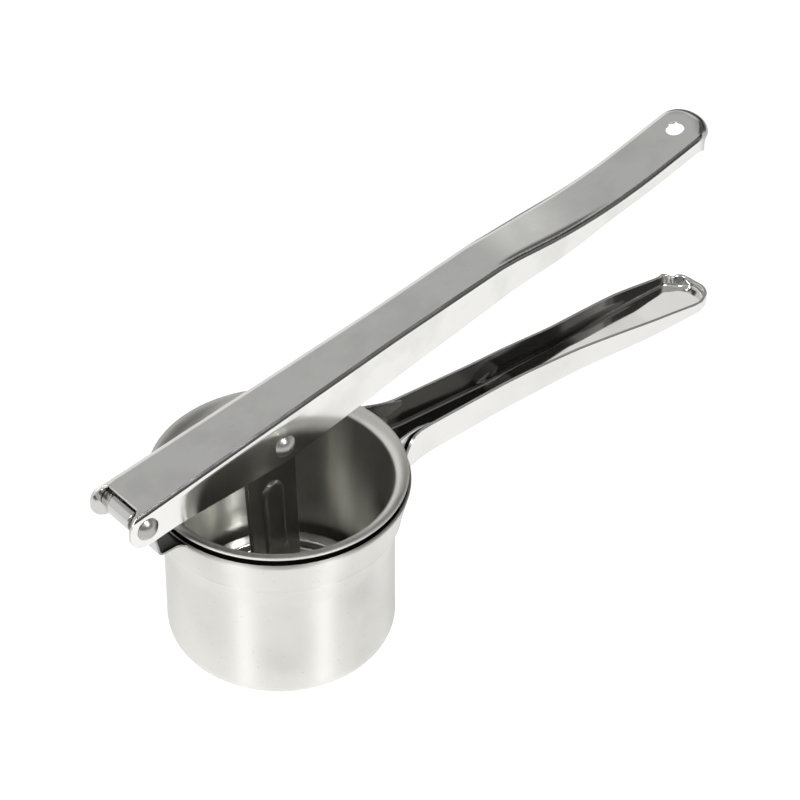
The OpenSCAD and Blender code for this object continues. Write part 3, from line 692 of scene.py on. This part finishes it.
def strutGrid():
    # the middle of the sheet: head half-circle, plate, bend, foot; along the plate a bead stands out by
    # h t^2 (3 - 2t), where t goes from 0 to 1 over the bead's flank
    q = plunger
    low = q["footRise"] - q["length"]
    head = q["headR"] * np.cos(np.radians(np.linspace(2, 90, 20)))[:, None]
    down = np.linspace(0, low, 90)[1:, None]
    a = np.radians(np.linspace(180, 270, 9))[1:, None]
    foot = np.linspace(q["bend"], q["footLen"] - 0.01, 12)[1:, None]
    z = np.concatenate([head, down, low + q["bend"] * np.sin(a), low - q["bend"] + 0 * foot])
    y = np.concatenate([0 * head, 0 * down, q["bend"] + q["bend"] * np.cos(a), foot])
    half = np.concatenate([np.sqrt(q["headR"] ** 2 - head ** 2), q["headR"] + (q["footHalf"] - q["headR"]) * down / low,
                           q["footHalf"] + 0 * a, q["footHalf"] + 0 * foot])
    v = np.linspace(-1, 1, 81)[None, :]
    x = half * v
    top = -q["beadTop"] - q["beadHalf"]
    over = np.maximum(z - top, 0)
    flank = np.clip((q["beadHalf"] - np.sqrt(x ** 2 + q["beadPoint"] * over ** 2)) / q["beadFlank"], 0, 1)
    bead = q["beadH"] * flank ** 2 * (3 - 2 * flank) * np.clip((z - low) / q["beadRun"], 0, 1) ** 0.7
    y = y - bead
    return np.stack([x, y, z + 0 * v], axis=-1)


grid = strutGrid()
points, faces, values = thicken(grid, gridNormals(grid), gridFaces(*grid.shape[:2]), plunger["sheet"], shift=0.5,
                                rim=0.1)
piece = makeMesh("strutPlate", alongStrut(points), faces, values, smoothAngle=60)
dress(piece, steels["strutSteel"], "plunger", "plunger_strut")


def discProfile():
    # sunk middle, short wall, outer flange, with rounded bends: closed loop of (radius, height)
    q, c, e = plunger, plunger["discBend"], plunger["discEdge"]
    r, well, top = q["wellR"], q["well"], q["well"] + q["discSheet"]
    lower, edge = [[0.02, 0], [20, 0]], [[r, well - 0.2], [r + 0.2, well], [q["discR"] - 0.3, well]]
    under = np.concatenate([lower, arcPoints((r - c, c), c, -90, 0, 8), edge])
    rimArc = arcPoints((q["discR"] - e, well + e), e, -90, 90, 9)
    over = np.concatenate([arcPoints((r - q["discSheet"] + 1, top - 1), 1, 90, 180, 7),
                           arcPoints((r - c, c), c - q["discSheet"], 0, -90, 6),
                           [[20, q["discSheet"]], [0.02, q["discSheet"]]]])
    return np.concatenate([under, rimArc, over])


points, faces = revolve(discProfile(), 192)
points = alongStrut(points + [0, 0, -plunger["length"] - plunger["discSheet"]])
dress(makeMesh("pressDisc", points, faces), steels["discSteel"], "plunger", "plunger_disc")


# rivets through the lever; tubes round them; the two small rivets that hold the strut's foot on the disc
rivet = dict(shaftR=2.5, headR=4.4, headH=2.4, standOff=0.05, weld=2e-5)
tube = dict(holeR=2.55, outerR=3.6, chamfer=0.15, holeChamfer=0.1, inset=1.35, strutGap=1.05)
footRivet = dict(headR=3.2, headH=1.2, shaftR=1.55, placeX=5, placeY=8, under=0.02, tailTop=2.0)


def dome(r, h, base, rimIn=0.25, rimUp=0.12, n=18):
    # closed (radius, height) loop of a rivet head that stands on base: a cap of the sphere with radius
    # (r^2 + h^2) / 2h, with a small slanted rim
    big = (r * r + h * h) / (2 * h)
    a = np.linspace(math.asin(min(r / big, 1)), 0.002, n)
    cap = np.stack([big * np.sin(a), base + h - big + big * np.cos(a)], axis=-1)
    return np.concatenate([[[0.01, base], [r - rimIn, base], [r, base + rimUp]], cap[1:]])


def rod(r, z0, z1):
    # closed (radius, height) loop of a plain cylinder
    return np.array([[0.01, z0], [r, z0], [r, z1], [0.01, z1]])


def acrossY(p):
    # turns an upright body of revolution on its side, so that its axis lies along Y
    return np.stack([p[..., 0], p[..., 2], p[..., 1]], axis=-1)


def crossRivet(name, at, node):
    # a shaft from cheek to cheek and a domed head on each cheek, turned on their side
    half = halfAt(at[0]) + rivet["standOff"]
    head = dome(rivet["headR"], rivet["headH"], half)
    parts = [revolve(rod(rivet["shaftR"], -half, half), 48), revolve(head, 64), revolve(head * [1, -1], 64)]
    points, faces = joinGrids([(acrossY(p) + at, f) for p, f in parts])
    piece = makeMesh(name, points, faces, weld=rivet["weld"])
    return dress(piece, steels["rivetSteel"], "lever", node)


def crossTube(name, at, y0, y1, body, node):
    # closed (radius, height) loop with small chamfers at both ends, turned on its side
    hole, outer, c, h = tube["holeR"], tube["outerR"], tube["chamfer"], tube["holeChamfer"]
    profile = np.array([[hole, y0 + h], [hole + h, y0], [outer - c, y0], [outer, y0 + c],
                        [outer, y1 - c], [outer - c, y1], [hole + h, y1], [hole, y1 - h]])
    points, faces = revolve(profile, 72)
    return dress(makeMesh(name, acrossY(points) + at, faces), steels["sleeveSteel"], body, node)


halfAt = lambda x: float(leverSpec["half"](np.array(x)))
crossRivet("hingeRivet", hinge, "hinge_rivet")
crossRivet("pivotRivet", pivot, "pivot_rivet")
inner = halfAt(hinge[0]) - tube["inset"]
crossTube("hingeSleeve", hinge, -inner, inner, "holder", "hinge_sleeve")
inner = halfAt(pivot[0]) - tube["inset"]
crossTube("nearSpacer", pivot, -inner, -tube["strutGap"], "lever", "near_spacer")
crossTube("farSpacer", pivot, tube["strutGap"], inner, "lever", "far_spacer")
sides = [side * footRivet["placeX"] for side in (-1, 1)]
heads = [revolve(dome(footRivet["headR"], footRivet["headH"], 0.0), 48,
                 (x, footRivet["placeY"], plunger["sheet"] - plunger["length"])) for x in sides]
tails = [revolve(rod(footRivet["shaftR"], -footRivet["under"], footRivet["tailTop"]), 48,
                 (x, footRivet["placeY"], -plunger["length"] - plunger["discSheet"])) for x in sides]
points, faces = joinGrids([(alongStrut(p), f) for p, f in heads + tails])
piece = makeMesh("footRivets", points, faces, weld=rivet["weld"])
dress(piece, steels["rivetSteel"], "plunger", "foot_rivets")
print("plunger and rivets made")


# floor, light and camera
def blank(name):
    material = bpy.data.materials.new(name)
    material.use_nodes = True
    return material, Graph(material.node_tree)


# floor is what it gives of its own: to mirrors and to the camera; patches are dark places of the sky, each
# (azimuth, elevation, radius where full, radius where gone, depth); front is the side where the low sky is dark;
# lamps are (name, azimuth, elevation, width, height, power)
studio = dict(
    floorHalf=4.0, floorZ=-0.0002, floorGrey=0.8, floorToMirrors=0.39, floorToCamera=0.25,
    sky=0.86, ceilingFrom=0.6, ceilingTo=0.7, ceilingFall=0.38, skyToMatt=0.3,
    front=(-0.635, -0.773, 0.0), frontRun=(0.3, 0.6), frontHeight=(0.5, 0.6), frontDepth=0.8,
    patches=[(44, 38, 8, 14, 0.8), (22, 28, 26, 32, 0.8), (132, 10, 18, 23, 0.8), (92, 42, 24, 30, 0.75),
             (98, 10, 20, 28, 0.7)],
    lamps=[("boxLeft", -75, 42, 0.13, 0.7, 10), ("boxRight", 2, 42, 0.2, 0.7, 11)], lampDistance=1.6,
    azimuth=-39.42, elevation=39.94, distance=1.5, lens=185.15, sensor=36, target=(0.05663, 0.0, 0.0770))


def floorMaterial():
    # plain pale floor: lit, plus its own white for the camera and for mirrors, so a faint shadow is left
    material, g = blank("floorWhite")
    path = g.make("ShaderNodeLightPath")
    camera = path.part("Is Camera Ray")
    seen = camera.math("MAXIMUM", path.part("Is Glossy Ray")).math("MAXIMUM", path.part("Is Transmission Ray"))
    lit = g.make("ShaderNodeBsdfDiffuse", None, {"Color": grey(studio["floorGrey"])})
    own = seen * studio["floorToMirrors"] + camera * studio["floorToCamera"]
    glow = g.make("ShaderNodeEmission", None, {"Color": grey(1.0), "Strength": own})
    both = g.make("ShaderNodeAddShader", None, {0: lit, 1: glow})
    g.make("ShaderNodeOutputMaterial", None, {"Surface": both})
    return material


def makeFloor():
    mesh = bpy.data.meshes.new("floor")
    s, z = studio["floorHalf"], studio["floorZ"]
    mesh.from_pydata([(-s, -s, z), (s, -s, z), (s, s, z), (-s, s, z)], [], [(0, 1, 2, 3)])
    floor = bpy.data.objects.new("floor", mesh)
    bpy.context.collection.objects.link(floor)
    mesh.materials.append(floorMaterial())


def direction(azimuth, elevation):
    # azimuth 0 is -Y and 90 is +X: (sin a cos e, -cos a cos e, sin e)
    a, e = math.radians(azimuth), math.radians(elevation)
    return np.array([math.sin(a) * math.cos(e), -math.cos(a) * math.cos(e), math.sin(e)])


def makeWorld():
    # white behind the object; mirrors see a pale sky with dark patches and a greyer ceiling
    world = bpy.data.worlds.new("studio")
    bpy.context.scene.world = world
    world.use_nodes = True
    g = Graph(world.node_tree)
    path = g.make("ShaderNodeLightPath")
    way = g.make("ShaderNodeTexCoord").part("Generated")
    height = g.make("ShaderNodeSeparateXYZ", None, {0: way}).part("Z")

    def towards(middle):
        pair = {0: way, 1: tuple(middle)}
        return g.make("ShaderNodeVectorMath", dict(operation="DOT_PRODUCT"), pair).part("Value")

    ceiling = studio["sky"] - g.ramp(height, studio["ceilingFrom"], studio["ceilingTo"]) * studio["ceilingFall"]
    front = g.ramp(towards(studio["front"]), *studio["frontRun"])
    mirrored = ceiling * (1 - front * g.ramp(height, *studio["frontHeight"], 1.0, 0.0) * studio["frontDepth"])
    for azimuth, elevation, full, gone, depth in studio["patches"]:
        near = towards(direction(azimuth, elevation))
        patch = g.ramp(near, math.cos(math.radians(gone)), math.cos(math.radians(full)))
        mirrored = mirrored * (1 - patch * depth)
    camera = path.part("Is Camera Ray").math("MAXIMUM", path.part("Is Transmission Ray"))
    glossy = path.part("Is Glossy Ray")
    strength = camera + (1 - camera) * (glossy * mirrored + (1 - glossy) * studio["skyToMatt"])
    shader = g.make("ShaderNodeBackground", None, {"Color": grey(1.0), "Strength": strength})
    g.make("ShaderNodeOutputWorld", None, {"Surface": shader})


target = np.array(studio["target"])


def aim(thing, place):
    # puts it there, its -Z towards the target and its Y as near to up as that allows
    back = (place - target) / np.linalg.norm(place - target)
    right = np.cross([0, 0, 1], back)
    right /= np.linalg.norm(right)
    up = np.cross(back, right)
    turn = np.eye(4)
    turn[:3, 0], turn[:3, 1], turn[:3, 2], turn[:3, 3] = right, up, back, place
    thing.matrix_world = turn.T.tolist()


def lamp(name, azimuth, elevation, wide, tall, power):
    data = bpy.data.lights.new(name, "AREA")
    data.shape, data.size, data.size_y, data.energy = "RECTANGLE", wide, tall, power
    thing = bpy.data.objects.new(name, data)
    bpy.context.collection.objects.link(thing)
    aim(thing, target + studio["lampDistance"] * direction(azimuth, elevation))


makeFloor()
makeWorld()
for row in studio["lamps"]:
    lamp(*row)

cameraData = bpy.data.cameras.new("camera")
cameraData.lens, cameraData.sensor_width = studio["lens"], studio["sensor"]
camera = bpy.data.objects.new("camera", cameraData)
bpy.context.collection.objects.link(camera)
aim(camera, target + studio["distance"] * direction(studio["azimuth"], studio["elevation"]))
bpy.context.scene.camera = camera
bpy.context.scene.view_settings.view_transform = "Standard"
print("light and camera set")
